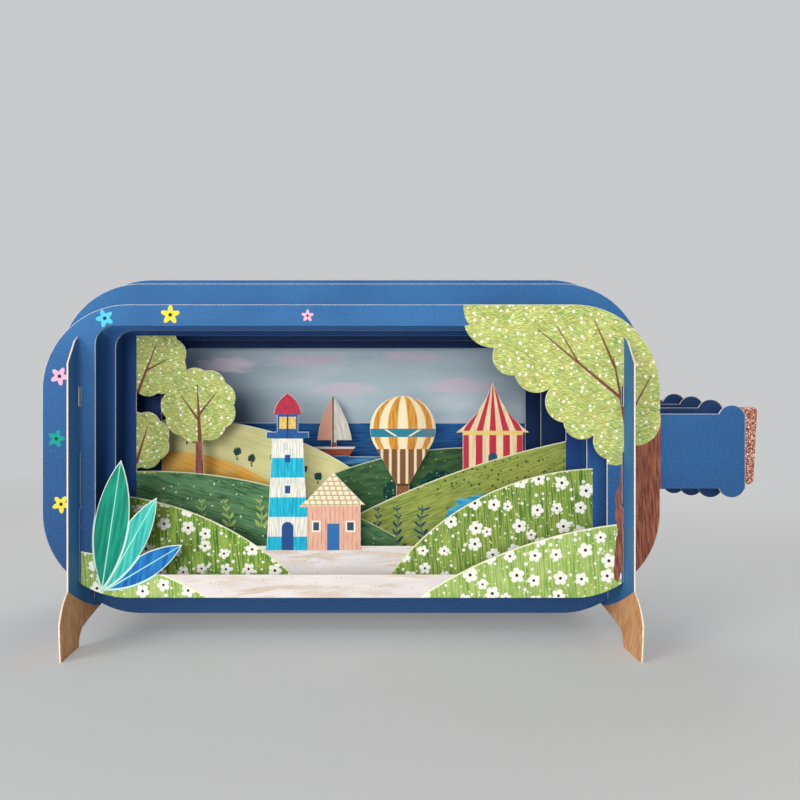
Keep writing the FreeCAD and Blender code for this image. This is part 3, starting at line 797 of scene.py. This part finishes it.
# Floor: a plain pale studio floor that runs far back and fades into the pale backdrop,
# which only the camera, mirrors and clear things see.
BACKDROP = tint("#c9cacb")


def shown_to_the_eye(tree):
    """1 for the rays that show the backdrop and 0 for the ones that light the card."""
    rays = Ink(tree.nodes.new("ShaderNodeLightPath").outputs["Is Camera Ray"])
    return rays | rays.beside("Is Glossy Ray") | rays.beside("Is Transmission Ray")


ground = bpy.data.meshes.new("floor")
ground.from_pydata([(-6, -6, 0), (6, -6, 0), (6, 6, 0), (-6, 6, 0)], [], [(0, 1, 2, 3)])
floor = bpy.data.objects.new("floor", ground)
bpy.context.scene.collection.objects.link(floor)
pale, lit = bare_finish("pale_floor")
lit.inputs["Base Color"].default_value = tint("#e6e6e5")
lit.inputs["Roughness"].default_value = 0.8
spread = Ink(lit.outputs[0]).node("ShaderNodeTexCoord", {}, {}, "Object")
spread = spread.turned("DISTANCE", spread, (0, 0, 0), give="Value")
fade = spread.calc("MULTIPLY_ADD", spread, 2.0, -0.4, use_clamp=True) | 0.3
fade = fade & shown_to_the_eye(pale.node_tree)
glow = fade.node("ShaderNodeEmission", {}, {"Color": BACKDROP, "Strength": 1.0})
mixed = fade.node("ShaderNodeMixShader", {}, {0: fade, 1: Ink(lit.outputs[0]), 2: glow})
mixed.into(pale.node_tree.nodes["Material Output"], "Surface")
ground.materials.append(pale)

# Light: a soft lamp high at the left, a smaller one in front that reaches through the windows,
# a wide weak one high behind for the plain backs, and pale air all round


def lamp(name, place, aim, width, watts):
    light = bpy.data.lights.new(name, "AREA")
    light.size = width
    light.energy = watts
    hung = bpy.data.objects.new(name, light)
    hung.location = place
    direction = [there - here for here, there in zip(place, aim)]
    flat = math.hypot(direction[0], direction[1])
    hung.rotation_euler = (math.atan2(flat, -direction[2]), 0, math.atan2(-direction[0], direction[1]))
    bpy.context.scene.collection.objects.link(hung)


lamp("key", (-0.75, -0.75, 0.45), (0, 0, 0.05), 0.45, 4.8)
lamp("front", (-0.15, -1.0, 0.17), (0, 0, 0.06), 0.3, 4.6)
lamp("behind", (0.3, 0.8, 0.7), (0, 0, 0.05), 0.6, 3.0)
air = bpy.data.worlds.new("pale_air")
air.use_nodes = True
lighting = air.node_tree.nodes["Background"]
lighting.inputs["Color"].default_value = tint("#d9d9d8")
lighting.inputs["Strength"].default_value = 0.5
eye_sees = shown_to_the_eye(air.node_tree)
backdrop = eye_sees.node("ShaderNodeBackground", {}, {"Color": BACKDROP, "Strength": 1.0})
mixed = eye_sees.node("ShaderNodeMixShader", {}, {0: eye_sees, 1: Ink(lighting.outputs[0]), 2: backdrop})
mixed.into(air.node_tree.nodes["World Output"], "Surface")
bpy.context.scene.world = air
bpy.context.scene.view_settings.view_transform = "Standard"

# Camera: square to the sheets, its axis through the body's middle and the picture moved a little to the right
eye = bpy.data.cameras.new("camera")
eye.lens = 37.26
eye.sensor_width = 36.0
eye.shift_x = 0.061
camera = bpy.data.objects.new("camera", eye)
camera.location = (-0.02345, -0.3051, 0.0792)
camera.rotation_euler = (math.pi / 2, 0, 0)
bpy.context.scene.collection.objects.link(camera)
bpy.context.scene.camera = camera
